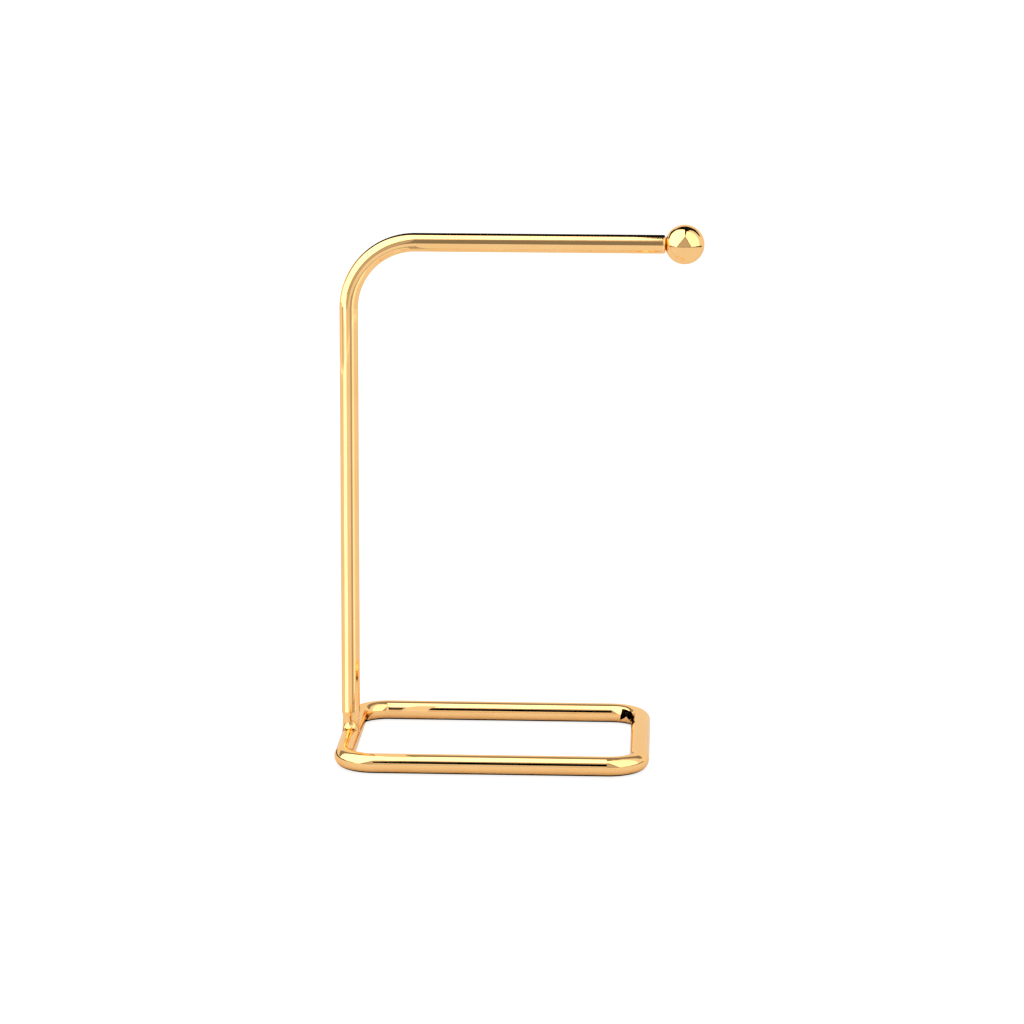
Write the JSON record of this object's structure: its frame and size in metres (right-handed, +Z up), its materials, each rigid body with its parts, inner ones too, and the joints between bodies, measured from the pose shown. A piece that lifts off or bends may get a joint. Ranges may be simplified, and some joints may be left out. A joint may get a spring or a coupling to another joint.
{
  "type": "toilet paper holder",
  "caption": "Free-standing toilet paper holder: a rounded rectangular loop of rod as its base, a tube bent into upright and arm for the roll, and a screw-on ball end, in polished gold.",
  "frame": {"origin": "on the table, under the middle of the holder's outer box", "axes": "+X along the arm towards the ball, +Y to the back, +Z up"},
  "size_m": [0.185, 0.12, 0.2725],
  "materials": {
    "gold_plate": "polished",
    "gold_plate_weld": "polished",
    "gold_plate_ball": "polished",
    "plain_steel": "satin",
    "zinc_steel": "satin"
  },
  "bodies": {
    "frame": {"base_loop": "gold_plate", "base_seam_weld": "gold_plate_weld", "upright_arm": "gold_plate", "foot_weld": "gold_plate_weld", "arm_end_plug": "plain_steel"},
    "stud": {"finial_stud": "zinc_steel"},
    "finial": {"ball_finial": "gold_plate_ball"}
  },
  "joints": [
    {"name": "finial_turn", "type": "hinge", "parent": "frame", "child": "stud", "pos_m": [0.07282, 0, 0.2625], "axis": [1, 0, 0], "range_deg": [0, 3600]},
    {"name": "finial_advance", "type": "slide", "parent": "stud", "child": "finial", "axis": [1, 0, 0], "range_m": [0, 0.007]}
  ],
  "couplings": [
    {"joint": "finial_turn", "follows": "finial_advance", "rad_per_m": 8975}
  ]
}
